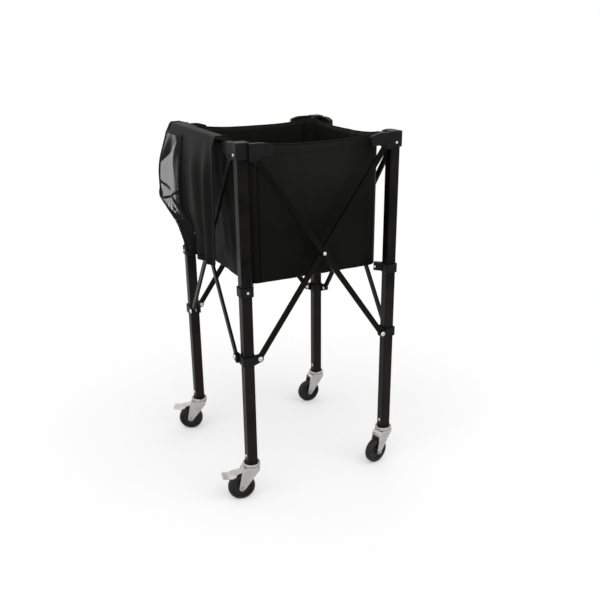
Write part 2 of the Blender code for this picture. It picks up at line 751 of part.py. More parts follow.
def build_sides(root):
    bar = bar_mesh()
    rivet = rivet_mesh()
    for k, side in enumerate(SIDES):
        spot = Matrix.Rotation(k * pi / 2, 2) @ Vector((0, -HALF))
        plane = empty("scissor_axis_" + side, (spot.x, spot.y, PIN_MID), k * pi / 2, root)
        place("scissor_" + side + "_outer", bar, plane, BLACK_TUBE,
              (0, -OUT_OUTER, 0), (0, BAR_TILT, 0))
        place("scissor_" + side + "_inner", bar, plane, BLACK_TUBE,
              (0, -OUT_INNER, 0), (0, -BAR_TILT, 0))
        place("centre_rivet_" + side, rivet, plane, BRIGHT, (0, -BAR_OUT, 0))


def build_castors(root):
    plug = plug_mesh()
    fork = fork_mesh()
    axle = axle_mesh()
    wheel = wheel_mesh()
    pedal = pedal_mesh()
    for k, corner in enumerate(CORNERS):
        spot = Matrix.Rotation(k * pi / 2, 2) @ Vector((-HALF, -HALF))
        fixed = empty("castor_seat_" + corner, (spot.x, spot.y, 0), k * pi / 2, root)
        place("castor_plug_" + corner, plug, fixed, BRIGHT)
        turn = radians(CASTOR_TURN[corner])
        swivel = empty("swivel_axis_" + corner, (spot.x, spot.y, 0), turn, root)
        hub = empty("wheel_axis_" + corner, (TRAIL, 0, WHEEL_R), 0.0, swivel)
        place("castor_fork_" + corner, fork, swivel, ZINC)
        place("castor_axle_" + corner, axle, hub, BRIGHT)
        place("castor_wheel_" + corner, wheel, hub, WHEEL_BLACK)
        if corner.endswith("left"):
            pivot = empty("pedal_axis_" + corner, (PEDAL_X, 0, PEDAL_Z), 0.0, swivel)
            place("brake_pedal_" + corner, pedal, pivot, ZINC)


def centre_plan_box(root):
    bpy.context.view_layer.update()
    xs = []
    ys = []
    for obj in PARTS.objects:
        if obj.type == "MESH":
            for vert in obj.data.vertices:
                at = obj.matrix_world @ vert.co
                xs.append(at.x)
                ys.append(at.y)
    root.location = (-(min(xs) + max(xs)) / 2, -(min(ys) + max(ys)) / 2, 0)
    bpy.context.view_layer.update()


def build():
    root = empty("cart")
    build_corners(root)
    build_sides(root)
    build_castors(root)
    place("bag", bag_mesh(), root, CLOTH)
    place("cover_flap", flap_mesh(), root, CLOTH)
    centre_plan_box(root)
    print("plan centre moved by", round(root.location.x, 6), round(root.location.y, 6))
    print("bar length", round(BAR_LONG, 5), "tilt", round(BAR_TILT * 180 / pi, 3))


build()
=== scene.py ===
import bpy
import bmesh
from math import cos, pi, radians, sin, sqrt
from mathutils import Matrix, Vector


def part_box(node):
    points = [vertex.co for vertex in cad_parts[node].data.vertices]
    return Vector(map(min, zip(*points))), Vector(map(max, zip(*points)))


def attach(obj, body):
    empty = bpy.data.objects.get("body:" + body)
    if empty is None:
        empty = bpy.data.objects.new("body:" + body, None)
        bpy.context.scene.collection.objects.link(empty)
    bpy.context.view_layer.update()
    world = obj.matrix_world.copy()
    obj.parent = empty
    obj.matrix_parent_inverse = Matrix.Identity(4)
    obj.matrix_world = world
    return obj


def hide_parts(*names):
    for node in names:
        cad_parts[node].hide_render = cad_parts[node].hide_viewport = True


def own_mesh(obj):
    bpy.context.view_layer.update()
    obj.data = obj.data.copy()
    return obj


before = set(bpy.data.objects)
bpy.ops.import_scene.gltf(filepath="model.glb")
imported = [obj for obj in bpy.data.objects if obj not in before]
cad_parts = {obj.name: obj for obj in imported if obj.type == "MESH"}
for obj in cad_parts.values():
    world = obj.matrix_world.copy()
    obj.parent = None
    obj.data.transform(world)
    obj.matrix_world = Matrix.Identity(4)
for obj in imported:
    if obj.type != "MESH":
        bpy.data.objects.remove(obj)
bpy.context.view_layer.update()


# Legs
# Four square aluminium tubes, drawn with a small corner radius and anodised black.
# Everything else on the cart is pinned, screwed or slid onto them.

def from_hex(code):
    channels = [int(code[i:i + 2], 16) / 255 for i in (1, 3, 5)]
    linear = [c / 12.92 if c <= 0.04045 else ((c + 0.055) / 1.055) ** 2.4 for c in channels]
    return (*linear, 1.0)


def add(tree, kind, values=None, links=None, **settings):
    # One node, with its own settings, its socket values and what feeds it
    node = tree.nodes.new(kind)
    for key, value in settings.items():
        setattr(node, key, value)
    for key, value in (values or {}).items():
        node.inputs[key].default_value = value
    for key, source in (links or {}).items():
        tree.links.new(source, node.inputs[key])
    return node


def new_finish(name, **values):
    mat = bpy.data.materials.new(name)
    mat.use_nodes = True
    tree = mat.node_tree
    shader = tree.nodes["Principled BSDF"]
    for key, value in values.items():
        shader.inputs[key.replace("_", " ")].default_value = value
    return mat, tree, shader


def paint(names, mat):
    # Puts a material on solids that are shown as they are
    for name in names:
        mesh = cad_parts[name].data
        mesh.materials.clear()
        mesh.materials.append(mat)


def two_tones(tree, amount, low, dark, high, light):
    # Two colours, blended between a low and a high value of the pattern
    tone = add(tree, "ShaderNodeValToRGB", None, {"Fac": amount})
    for stop, place, code in zip(tone.color_ramp.elements, (low, high), (dark, light)):
        stop.position = place
        stop.color = from_hex(code)
    return tone.outputs["Color"]


def dress(tree, shader, tone, rough, dent):
    # Gives the shader its colour, its roughness and its fine relief
    tree.links.new(tone, shader.inputs["Base Color"])
    tree.links.new(rough.outputs["Result"], shader.inputs["Roughness"])
    tree.links.new(dent.outputs["Normal"], shader.inputs["Normal"])


def black_anodised_aluminium(name, grain, dark, light):
    # Extruded and bead-blasted tube, dyed black: satin, with painted light making it a little
    # paler towards the foot, where the white floor lights it, and faint die lines drawn wider
    # than the real ones, so that they show
    mat, tree, shader = new_finish(name, Metallic=0.6, Roughness=0.40, Specular_IOR_Level=0.15)
    where = add(tree, "ShaderNodeTexCoord").outputs["Object"]
    along = add(tree, "ShaderNodeMapping", {"Scale": grain}, {"Vector": where})
    lines = add(tree, "ShaderNodeTexNoise", {"Scale": 1.0, "Detail": 3.0},
                {"Vector": along.outputs["Vector"]})
    cloud = add(tree, "ShaderNodeTexNoise", {"Scale": 9.0, "Detail": 4.0}, {"Vector": where})
    span = add(tree, "ShaderNodeTexCoord").outputs["Generated"]
    height = add(tree, "ShaderNodeSeparateXYZ", None, {"Vector": span})
    # Painted light: the tube is drawn paler towards its lower end, standing for the white
    # floor's light
    painted_foot_light = add(tree, "ShaderNodeMapRange", {"From Min": 0.75, "From Max": 0.05,
                                              "To Min": -0.15, "To Max": 0.30},
                 {"Value": height.outputs["Z"]})
    both = add(tree, "ShaderNodeMath", None,
               {0: cloud.outputs["Fac"], 1: painted_foot_light.outputs["Result"]}, operation="ADD")
    tone = two_tones(tree, both.outputs["Value"], 0.30, dark, 0.75, light)
    rough = add(tree, "ShaderNodeMapRange", {"To Min": 0.34, "To Max": 0.48},
                {"Value": lines.outputs["Fac"]})
    dent = add(tree, "ShaderNodeBump", {"Strength": 0.10, "Distance": 0.0002},
               {"Height": lines.outputs["Fac"]})
    dress(tree, shader, tone, rough, dent)
    return mat


CORNERS = ["front_left", "front_right", "back_right", "back_left"]
leg_black = black_anodised_aluminium("black_anodised_leg_tube", (700, 700, 9), "#090808",
                                     "#221e1e")
paint(["leg_" + c for c in CORNERS], leg_black)


# Top brackets, bag collars and sliders
# Glass-filled nylon mouldings, black. The bracket caps the leg and its two channel arms
# hold the scissor bars; the slider runs on the leg; the collar carries the bag's corner.

def ease_edges(names, width, angle=35):
    # Breaks the sharp edges of a solid that stays as it is
    for name in names:
        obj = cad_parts[name]
        join = obj.modifiers.new("joined", "WELD")
        join.merge_threshold = 0.00002
        soft = obj.modifiers.new("broken_edges", "BEVEL")
        soft.width = width
        soft.segments = 2
        soft.limit_method = "ANGLE"
        soft.angle_limit = radians(angle)
        soft.harden_normals = True


def black_moulded_nylon():
    # Spark-textured tool: an even, matt skin with slightly paler worn highs, its grain
    # drawn 0.7 mm wide, coarser than the real 0.2 mm, so that it shows
    mat, tree, shader = new_finish("black_moulded_nylon", Roughness=0.5, IOR=1.53,
                                   Specular_IOR_Level=0.13)
    where = add(tree, "ShaderNodeTexCoord").outputs["Object"]
    grit = add(tree, "ShaderNodeTexNoise", {"Scale": 1400.0, "Detail": 2.0}, {"Vector": where})
    cloud = add(tree, "ShaderNodeTexNoise", {"Scale": 30.0, "Detail": 5.0}, {"Vector": where})
    tone = two_tones(tree, cloud.outputs["Fac"], 0.35, "#0b0a0a", 0.78, "#151313")
    rough = add(tree, "ShaderNodeMapRange", {"To Min": 0.40, "To Max": 0.56},
                {"Value": cloud.outputs["Fac"]})
    dent = add(tree, "ShaderNodeBump", {"Strength": 0.18, "Distance": 0.0002},
               {"Height": grit.outputs["Fac"]})
    dress(tree, shader, tone, rough, dent)
    return mat


nylon_black = black_moulded_nylon()
moulded = [kind + "_" + c for kind in ("top_bracket", "bag_collar", "slider") for c in CORNERS]
paint(moulded, nylon_black)
ease_edges(moulded, 0.0007)


# Scissor bars
# Flat-sided aluminium tube, rounded and drilled at the ends and anodised black. Two cross on
# each side, pinned in the brackets' arms above and between the sliders' ears below.

SIDES = ["front", "right", "back", "left"]
bar_black = black_anodised_aluminium("black_anodised_bar_tube", (260, 260, 260), "#090807",
                                     "#12110f")
bars = ["scissor_" + side + "_" + lay for side in SIDES for lay in ("outer", "inner")]
paint(bars, bar_black)
ease_edges(bars, 0.0006, 50)


# Pivot bolts and screws
# Zinc-plated dome-head bolts through the sliders' ears and where two bars cross, and small
# pan-head screws that fix the caps, collars and castor plugs to the legs. The pins in the
# brackets' arms are dark and have no bright heads.

def bright_zinc(name, dark, light, low, high):
    # Barrel-plated steel: bright, a little clouded, with fine handling marks
    mat, tree, shader = new_finish(name, Metallic=1.0, Roughness=0.3)
    where = add(tree, "ShaderNodeTexCoord").outputs["Object"]
    cloud = add(tree, "ShaderNodeTexNoise", {"Scale": 38.0, "Detail": 3.0, "Roughness": 0.5},
                {"Vector": where})
    marks = add(tree, "ShaderNodeTexNoise", {"Scale": 420.0, "Detail": 3.0}, {"Vector": where})
    tone = two_tones(tree, cloud.outputs["Fac"], 0.30, dark, 0.70, light)
    rough = add(tree, "ShaderNodeMapRange", {"To Min": low, "To Max": high},
                {"Value": marks.outputs["Fac"]})
    dent = add(tree, "ShaderNodeBump", {"Strength": 0.08, "Distance": 0.0002},
               {"Height": marks.outputs["Fac"]})
    dress(tree, shader, tone, rough, dent)
    return mat


bolt_zinc = bright_zinc("bright_zinc_bolt", "#c9c8c6", "#e4e3e1", 0.16, 0.30)


def leg_axis(corner):
    low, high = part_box("leg_" + corner)
    return (low + high) / 2


def piece(name, mesh, mat):
    obj = bpy.data.objects.new(name, mesh)
    bpy.context.scene.collection.objects.link(obj)
    mesh.materials.clear()
    mesh.materials.append(mat)
    return obj


def mesh_from(bm, name):
    mesh = bpy.data.meshes.new(name)
    bm.to_mesh(mesh)
    bm.free()
    return mesh


def smooth_mesh_from(bm, name):
    mesh = mesh_from(bm, name)
    mesh.shade_smooth()
    return mesh


def turned_mesh(name, profile, steps=32):
    # (radius, height) pairs from the top down, spun about Z
    bm = bmesh.new()
    verts = [bm.verts.new((r, 0.0, z)) for r, z in profile]
    for a, b in zip(verts, verts[1:]):
        bm.edges.new((a, b))
    bmesh.ops.spin(bm, geom=bm.verts[:] + bm.edges[:], cent=(0, 0, 0), axis=(0, 0, 1),
                   angle=2 * pi, steps=steps, use_merge=True)
    bmesh.ops.remove_doubles(bm, verts=bm.verts, dist=0.000005)
    bmesh.ops.recalc_face_normals(bm, faces=bm.faces)
    mesh = smooth_mesh_from(bm, name)
    mesh.set_sharp_from_angle(angle=radians(38))
    return mesh


def facing(direction):
    # Turns a head, drawn upwards, to look in a direction
    return Vector((0, 0, 1)).rotation_difference(Vector(direction)).to_matrix().to_4x4()


def head_profile(radius, height, recess):
    # A domed head with a drive recess in its middle
    return [(0, height - recess), (radius * 0.30, height - recess),
            (radius * 0.30, height - recess * 0.1), (radius * 0.36, height),
            (radius * 0.62, height * 0.94), (radius * 0.84, height * 0.72),
            (radius * 0.96, height * 0.42), (radius, height * 0.12), (radius, 0), (0, 0)]


CORNER_BODY = {c: "frame" if c == "front_left" else "corner_" + c for c in CORNERS}
AXIS = {c: leg_axis(c) for c in CORNERS}
middle = sum((AXIS[c] for c in CORNERS), Vector()) / 4
middle.z = 0.0

PIN_IN = 0.0305
PLANE_OUT = {"outer": 0.0203, "inner": 0.0127}
EAR_HALF = 0.0068
SLIDER_PIN_Z = 0.446
LEG_FACE = 0.015
MOULDING_FACE = 0.019
CAP_SCREW_Z = 1.006
COLLAR_SCREW_Z = 0.6432
LUG_OUT = 0.040
LUG_HALF = 0.007
FOOT_SCREW_Z = 0.140
bolt_mesh = turned_mesh("dome_bolt_head", head_profile(0.0074, 0.0036, 0.0008))
screw_mesh = turned_mesh("pan_screw_head", head_profile(0.0040, 0.0024, 0.0009), 24)
foot_mesh = turned_mesh("foot_screw_head", head_profile(0.0050, 0.0024, 0.0009), 24)


def fixing(name, mesh, corner_turn, at, outward, body):
    # Sets a bolt or screw head on a face, given about one corner and turned to its own
    spin = Matrix.Rotation(corner_turn, 4, "Z")
    head = piece(name, mesh, bolt_zinc)
    head.matrix_world = Matrix.Translation(spin @ Vector(at)) @ facing(spin @ Vector(outward))
    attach(head, body)


for k, corner in enumerate(CORNERS):
    turn = k * pi / 2
    foot = Matrix.Rotation(-turn, 3, "Z") @ AXIS[corner]
    sides = (("a", PLANE_OUT["inner"], (0, 1)), ("b", PLANE_OUT["outer"], (1, 0)))
    for tag, plane, way in sides:
        for end, sign in (("head", -1), ("end", 1)):
            off = sign * EAR_HALF - plane
            along = (PIN_IN, off) if tag == "a" else (off, PIN_IN)
            fixing("slider_bolt_%s_%s_%s" % (end, corner, tag), bolt_mesh, turn,
                   (foot.x + along[0], foot.y + along[1], SLIDER_PIN_Z),
                   (sign * way[0], sign * way[1], 0), "slide_" + corner)
    body = CORNER_BODY[corner]
    fixing("cap_screw_" + corner, screw_mesh, turn,
           (foot.x - MOULDING_FACE, foot.y, CAP_SCREW_Z), (-1, 0, 0), body)
    fixing("collar_screw_" + corner, screw_mesh, turn,
           (foot.x, foot.y - MOULDING_FACE, COLLAR_SCREW_Z), (0, -1, 0), body)
    reach = LUG_OUT * sqrt(0.5)
    half = LUG_HALF * sqrt(0.5)
    for end, sign in (("head", 1), ("end", -1)):
        fixing("lug_screw_%s_%s" % (end, corner), screw_mesh, turn,
               (foot.x + reach + sign * half, foot.y + reach - sign * half,
                COLLAR_SCREW_Z), (sign, -sign, 0), body)
    fixing("foot_screw_" + corner, foot_mesh, 0.0,
           (AXIS[corner].x - LEG_FACE, AXIS[corner].y, FOOT_SCREW_Z), (-1, 0, 0), body)

BAR_OUT = 0.0165
RIVET_HALF = 0.0102
RIVET_Z = 0.723
paint(["centre_rivet_" + side for side in SIDES], nylon_black)
rivet_head = turned_mesh("rivet_dome", head_profile(0.0056, 0.0030, 0.0007))
for k, side in enumerate(SIDES):
    turn = k * pi / 2
    local = Matrix.Rotation(-turn, 3, "Z") @ middle
    edge = (Matrix.Rotation(-turn, 3, "Z") @ AXIS[CORNERS[k]]).y
    for tag, sign in (("out", -1), ("in", 1)):
        at = (local.x, edge - BAR_OUT + sign * RIVET_HALF, RIVET_Z)
        fixing("rivet_head_%s_%s" % (side, tag), rivet_head, turn, at, (0, sign, 0),
               "bar_" + side + "_outer")


# Castors
# Pressed steel, zinc plated: a swivelling fork with a domed crown runs in a turned race ring
# under the leg, on a plug driven into the tube, and holds the wheel's bolt axle.

castor_zinc = bright_zinc("satin_zinc_pressing", "#bfbdbc", "#d2d0cf", 0.24, 0.36)
ring_zinc = bright_zinc("bright_zinc_ring", "#a3a1a0", "#bcbab9", 0.10, 0.18)
TRAIL = 0.032
WHEEL_R = 0.040
HALF_FORK = 0.017
CASTOR_TURN = {"front_left": 168, "front_right": 195, "back_right": 180, "back_left": 155}
forks = ["castor_fork_" + c for c in CORNERS]
paint(forks, castor_zinc)
ease_edges(forks, 0.0006)
paint(["castor_plug_" + c for c in CORNERS], nylon_black)
paint(["castor_axle_" + c for c in CORNERS], bolt_zinc)

race_profile = [(0.0206, 0.1162), (0.0212, 0.1175), (0.0226, 0.1181), (0.0242, 0.1177),
                (0.0254, 0.1163), (0.0258, 0.1144), (0.0256, 0.1126), (0.0251, 0.1114),
                (0.0248, 0.1110), (0.0251, 0.1106), (0.0255, 0.1096), (0.0254, 0.1082),
                (0.0249, 0.1072), (0.0240, 0.1068), (0.0200, 0.1068)]
race_mesh = turned_mesh("race_ring", race_profile, 48)
crown_profile = [(0.0215, 0.1059), (0.0232, 0.1057), (0.0240, 0.1047), (0.0241, 0.1023),
                 (0.0238, 0.0997), (0.0232, 0.0985), (0.0215, 0.0985), (0.0215, 0.1059)]
crown_mesh = turned_mesh("crown_skirt", crown_profile, 48)
# Painted shade: a thin black ring in the gap between the race ring and the crown, standing for
# the shadow in that gap
gap_shade_profile = [(0.0200, 0.1070), (0.0247, 0.1070), (0.0247, 0.1062), (0.0200, 0.1062),
                (0.0200, 0.1070)]
gap_shade_mesh = turned_mesh("race_seal", gap_shade_profile, 48)
flange_profile = [(0.0130, 0.1174), (0.0196, 0.1172), (0.0207, 0.1168), (0.0210, 0.1160)]
flange_mesh = turned_mesh("plug_flange", flange_profile, 48)


def hex_nut_mesh():
    bm = bmesh.new()
    bmesh.ops.create_cone(bm, cap_ends=True, segments=6, radius1=0.0070, radius2=0.0070,
                          depth=0.0042)
    bmesh.ops.bevel(bm, geom=bm.edges[:], offset=0.0005, segments=2, affect="EDGES")
    bmesh.ops.translate(bm, vec=(0, 0, 0.0021), verts=bm.verts)
    return mesh_from(bm, "axle_nut")


nut_mesh = hex_nut_mesh()
axle_head_mesh = turned_mesh("axle_bolt_head", head_profile(0.0068, 0.0038, 0.0004))


def under_leg(corner):
    return Matrix.Translation((AXIS[corner].x, AXIS[corner].y, 0))


def swivelled(corner):
    return under_leg(corner) @ Matrix.Rotation(radians(CASTOR_TURN[corner]), 4, "Z")


for corner in CORNERS:
    for name, mesh, mat in (("race_ring_", race_mesh, ring_zinc),
                            ("race_seal_", gap_shade_mesh, nylon_black),
                            ("plug_flange_", flange_mesh, nylon_black)):
        ring = piece(name + corner, mesh, mat)
        ring.matrix_world = under_leg(corner)
        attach(ring, CORNER_BODY[corner])
    swivel = swivelled(corner)
    skirt = piece("crown_skirt_" + corner, crown_mesh, castor_zinc)
    skirt.matrix_world = swivel
    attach(skirt, "fork_" + corner)
    for tag, mesh, sign in (("nut", nut_mesh, 1), ("head", axle_head_mesh, -1)):
        end = piece("axle_%s_%s" % (tag, corner), mesh, ring_zinc)
        at = Matrix.Translation((TRAIL, sign * HALF_FORK, WHEEL_R))
        end.matrix_world = swivel @ at @ facing((0, sign, 0))
        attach(end, "fork_" + corner)


# Brake pedals
# One pressed plate on each left-hand castor: it turns on a pin between the fork's cheeks,
# widens past the wheel, has turned-down sides and a raised panel, and ends in a tread tab.

def smooth(value, low, high):
    t = max(0.0, min(1.0, (value - low) / (high - low)))
    return t * t * (3 - 2 * t)


PEDAL_PIN = Vector((0.022, 0, 0.093))
PEDAL_START = 0.021
PEDAL_KNEE = 0.070
PEDAL_TIP = 0.088
CHEEK_HALF = 0.0138
PLATE_HALF = 0.0196
SKIRT_DEEP = 0.0065
PLATE_THICK = 0.0016


def plate_height(x):
    # Falls evenly from the pin to the knee, then levels out in the tab
    fall = 0.0155 * min(1.0, (x - PEDAL_START) / (PEDAL_KNEE - PEDAL_START))
    lift = 0.0016 * smooth(x, PEDAL_KNEE, PEDAL_TIP)
    return 0.0965 - fall + lift


def plate_half(x):
    # Narrow between the cheeks, full width past them, rounded at the tip
    half = CHEEK_HALF + (PLATE_HALF - CHEEK_HALF) * smooth(x, 0.0440, 0.0500)
    round_end = max(0.0, (x - (PEDAL_TIP - 0.007)) / 0.007)
    return half - 0.0065 * (1 - sqrt(max(0.0, 1 - round_end * round_end)))


def pedal_plate_mesh():
    bm = bmesh.new()
    grid = []
    for j in range(57):
        x = PEDAL_START + (PEDAL_TIP - PEDAL_START) * j / 56
        half, top = plate_half(x), plate_height(x)
        skirt = SKIRT_DEEP * smooth(x, 0.0420, 0.0480) * (1 - smooth(x, 0.0600, 0.0705)) + 0.0005
        row = []
        for i in range(29):
            t = -1 + 2 * i / 28
            side = abs(t)
            if side > 0.88:
                down = skirt * (side - 0.88) / 0.12
                y = half * (1 if t > 0 else -1)
            else:
                y = half * t / 0.88 * 0.97
                down = 0.0006 * smooth(side, 0.78, 0.88)
            panel = smooth(x, 0.0500, 0.0520) * (1 - smooth(x, 0.0640, 0.0660))
            raised = 0.0018 * panel * (1 - smooth(abs(y), 0.0095, 0.0115))
            dish = 0.0012 * smooth(x, 0.0545, 0.0560) * (1 - smooth(x, 0.0600, 0.0615))
            raised -= dish * (1 - smooth(abs(y), 0.0045, 0.0060))
            crease = 0.0014 * (smooth(x, 0.0685, 0.0700) - smooth(x, 0.0712, 0.0728))
            rib = 0.0009 * smooth(x, 0.0740, 0.0750) * (1 - smooth(x, 0.0835, 0.0845))
            rib *= max(0.0, cos(y * pi / 0.0050)) ** 2 * (1 - smooth(abs(y), 0.0130, 0.0140))
            row.append(bm.verts.new((x, y, top - down + raised - crease + rib)))
        grid.append(row)
    for a, b in zip(grid, grid[1:]):
        for i in range(28):
            bm.faces.new((a[i], b[i], b[i + 1], a[i + 1]))
    return smooth_mesh_from(bm, "pedal_plate")


def block_mesh(name, low, high, ease):
    bm = bmesh.new()
    bmesh.ops.create_cube(bm, size=1.0)
    for vert in bm.verts:
        vert.co = [l + (h - l) * (c + 0.5) for l, h, c in zip(low, high, vert.co)]
    bmesh.ops.bevel(bm, geom=bm.edges[:], offset=ease, segments=2, affect="EDGES")
    return mesh_from(bm, name)


plate_mesh = pedal_plate_mesh()
pad_mesh = block_mesh("pedal_pad", (0.0270, -0.0080, 0.0846), (0.0370, 0.0080, 0.0915), 0.0012)
barrel_mesh = turned_mesh("pedal_barrel", [(0.0030, 0.0138), (0.0046, 0.0138),
                                           (0.0046, -0.0138), (0.0030, -0.0138)], 24)
pin_mesh = turned_mesh("pedal_pin", [(0, 0.0184), (0.0030, 0.0182), (0.0040, 0.0174),
                                     (0.0040, 0.0170), (0.0025, 0.0170), (0.0025, -0.0170),
                                     (0.0040, -0.0170), (0.0040, -0.0174), (0.0030, -0.0182),
                                     (0, -0.0184)], 24)
for corner in ("front_left", "back_left"):
    swivel = swivelled(corner)
    across = Matrix.Translation(PEDAL_PIN) @ facing((0, 1, 0))
    for tag, mesh, mat, place in (("plate", plate_mesh, castor_zinc, Matrix()),
                                  ("pad", pad_mesh, castor_zinc, Matrix()),
                                  ("barrel", barrel_mesh, castor_zinc, across),
                                  ("pin", pin_mesh, castor_zinc, across)):
        part = piece("pedal_%s_%s" % (tag, corner), mesh, mat)
        part.matrix_world = swivel @ place
        if tag == "plate":
            thick = part.modifiers.new("sheet", "SOLIDIFY")
            thick.thickness = PLATE_THICK
            thick.offset = -1.0
        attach(part, "pedal_" + corner)
        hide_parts("brake_pedal_" + corner)


# Wheels
# Hard black rubber tread moulded on a black plastic core, 80 mm across, with a dished
# web, a hub boss on each side and a rounded tread.

def black_rubber_tread():
    # Moulded rubber: deep black, soft sheen, a fine scuffed running band
    mat, tree, shader = new_finish("black_rubber_tread", Roughness=0.5, IOR=1.52,
                                   Specular_IOR_Level=0.3)
    where = add(tree, "ShaderNodeTexCoord").outputs["Object"]
    cloud = add(tree, "ShaderNodeTexNoise", {"Scale": 120.0, "Detail": 5.0}, {"Vector": where})
    tone = two_tones(tree, cloud.outputs["Fac"], 0.35, "#121213", 0.75, "#1e1e1f")
    rough = add(tree, "ShaderNodeMapRange", {"To Min": 0.38, "To Max": 0.60},
                {"Value": cloud.outputs["Fac"]})
    dent = add(tree, "ShaderNodeBump", {"Strength": 0.12, "Distance": 0.0003},
               {"Height": cloud.outputs["Fac"]})
    dress(tree, shader, tone, rough, dent)
    return mat


rubber_black = black_rubber_tread()
half_wheel = [(0.0034, 0.0134), (0.0085, 0.0134), (0.0105, 0.0122), (0.0112, 0.0072),
              (0.0125, 0.0056), (0.0240, 0.0050), (0.0268, 0.0060), (0.0282, 0.0098),
              (0.0296, 0.0117), (0.0318, 0.0120), (0.0350, 0.0115), (0.0374, 0.0101),
              (0.0391, 0.0076), (0.0398, 0.0042), (0.0400, 0.0)]
wheel_profile = half_wheel + [(r, -z) for r, z in reversed(half_wheel[:-1])]
wheel_profile.append(wheel_profile[0])
wheel_mesh = turned_mesh("castor_wheel", wheel_profile, 64)
for corner in CORNERS:
    wheel = piece("tread_wheel_" + corner, wheel_mesh, rubber_black)
    at = Matrix.Translation((TRAIL, 0, WHEEL_R)) @ facing((0, 1, 0))
    wheel.matrix_world = swivelled(corner) @ at
    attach(wheel, "wheel_" + corner)
    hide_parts("castor_wheel_" + corner)


# Bag
# Coated polyester, sewn as four walls and a floor, with a doubled hem round the mouth and
# bound seams. It hangs from the four brackets and sits in the collars below.

BAG_HALF = 0.205
BAG_ROUND = 0.030
BAG_FLOOR = 0.648
BAG_RIM = 1.020
BAG_PEAK = 0.015
BAG_CLOTH = 0.0012
HEM_DEEP = 0.024
RIM_DROP = 0.0008


def coated_polyester(name, dark, light, top_light_from, top_light_to):
    # Plain weave under a thin coating: dark, a soft sheen, drawn paler towards the top as
    # painted light from above, with threads drawn about 1 mm apart, coarser than the real 0.4
    # mm, so that they show
    mat, tree, shader = new_finish(name, Roughness=0.62, IOR=1.5, Specular_IOR_Level=0.09,
                                   Sheen_Weight=0.009, Sheen_Roughness=0.5)
    where = add(tree, "ShaderNodeTexCoord").outputs["Object"]
    slow = add(tree, "ShaderNodeTexNoise", {"Scale": 7.0, "Detail": 4.0}, {"Vector": where})
    threads = []
    for turn in ((0, 0, 0.785), (0, 1.5708, 0)):
        laid = add(tree, "ShaderNodeMapping", {"Rotation": turn}, {"Vector": where})
        thread = add(tree, "ShaderNodeTexWave", {"Scale": 330.0, "Distortion": 0.4},
                     {"Vector": laid.outputs["Vector"]}, bands_direction="X")
        threads.append(thread.outputs["Fac"])
    weave = add(tree, "ShaderNodeMath", None, {0: threads[0], 1: threads[1]},
                operation="MULTIPLY")
    height = add(tree, "ShaderNodeSeparateXYZ", None, {"Vector": where})
    # Painted light: the cloth is drawn paler towards the top, where the light from above catches
    # it
    painted_top_light = add(tree, "ShaderNodeMapRange", {"From Min": top_light_from, "From Max": top_light_to,
                                            "To Min": -0.25, "To Max": 0.25},
               {"Value": height.outputs["Z"]})
    cloud_and_top_light = add(tree, "ShaderNodeMath", None,
               {0: slow.outputs["Fac"], 1: painted_top_light.outputs["Result"]}, operation="ADD")
    tone = two_tones(tree, cloud_and_top_light.outputs["Value"], 0.32, dark, 0.76, light)
    rough = add(tree, "ShaderNodeMapRange", {"To Min": 0.48, "To Max": 0.66},
                {"Value": slow.outputs["Fac"]})
    dent = add(tree, "ShaderNodeBump", {"Strength": 0.22, "Distance": 0.0003},
               {"Height": weave.outputs["Value"]})
    dress(tree, shader, tone, rough, dent)
    return mat


bag_black = coated_polyester("black_coated_polyester", "#050503", "#171714", 0.78, 0.96)


def rim_height(x, y):
    along = min(1.0, min(abs(x), abs(y)) / BAG_HALF)
    return BAG_RIM + BAG_PEAK * along ** 3


FLAT = BAG_HALF - BAG_ROUND


def wall_path():
    # The flat part of the front wall, as (x, y, outward x, outward y)
    return [(-FLAT + 2 * FLAT * i / 30, -BAG_HALF, 0.0, -1.0) for i in range(31)]


def corner_path():
    # The rounded front left corner
    path = []
    for i in range(11):
        a = radians(180 + 9 * i)
        path.append((-FLAT + BAG_ROUND * cos(a), -FLAT + BAG_ROUND * sin(a), cos(a), sin(a)))
    return path


def slack(side, x, z):
    # How far the cloth stands off its flat line: a soft belly, drag folds from the hung
    # corners and from the collars, and small rumples
    s = max(-1.0, min(1.0, x / FLAT))
    middle_part = 1 - s * s
    up = (z - BAG_FLOOR) / (BAG_RIM - BAG_FLOOR)
    belly = 0.0055 * middle_part * (0.6 + 0.4 * sin(pi * min(1.0, up)))
    left = sqrt((s + 1) ** 2 + (1.05 - up) ** 2)
    right = sqrt((1 - s) ** 2 + (1.05 - up) ** 2)
    pull_left = sin(15 * (s + 1) / (0.35 + left) + side) * smooth(1.1 - left, 0.0, 0.9)
    pull_right = sin(13 * (1 - s) / (0.35 + right) + 2 * side) * smooth(1.1 - right, 0.0, 0.9)
    low = smooth(0.35 - up, 0.0, 0.3)
    rumple = sin(19 * s + 3 * up + side) * sin(7 * up + 2.3 * s + 1.7 * side)
    drag = 0.0032 * (pull_left + pull_right) * middle_part ** 0.8
    drag *= 1 - 0.5 * smooth(up, 0.75, 1.0)
    return belly + drag + middle_part * (0.0014 * rumple + 0.0016 * low * sin(9 * s + side))


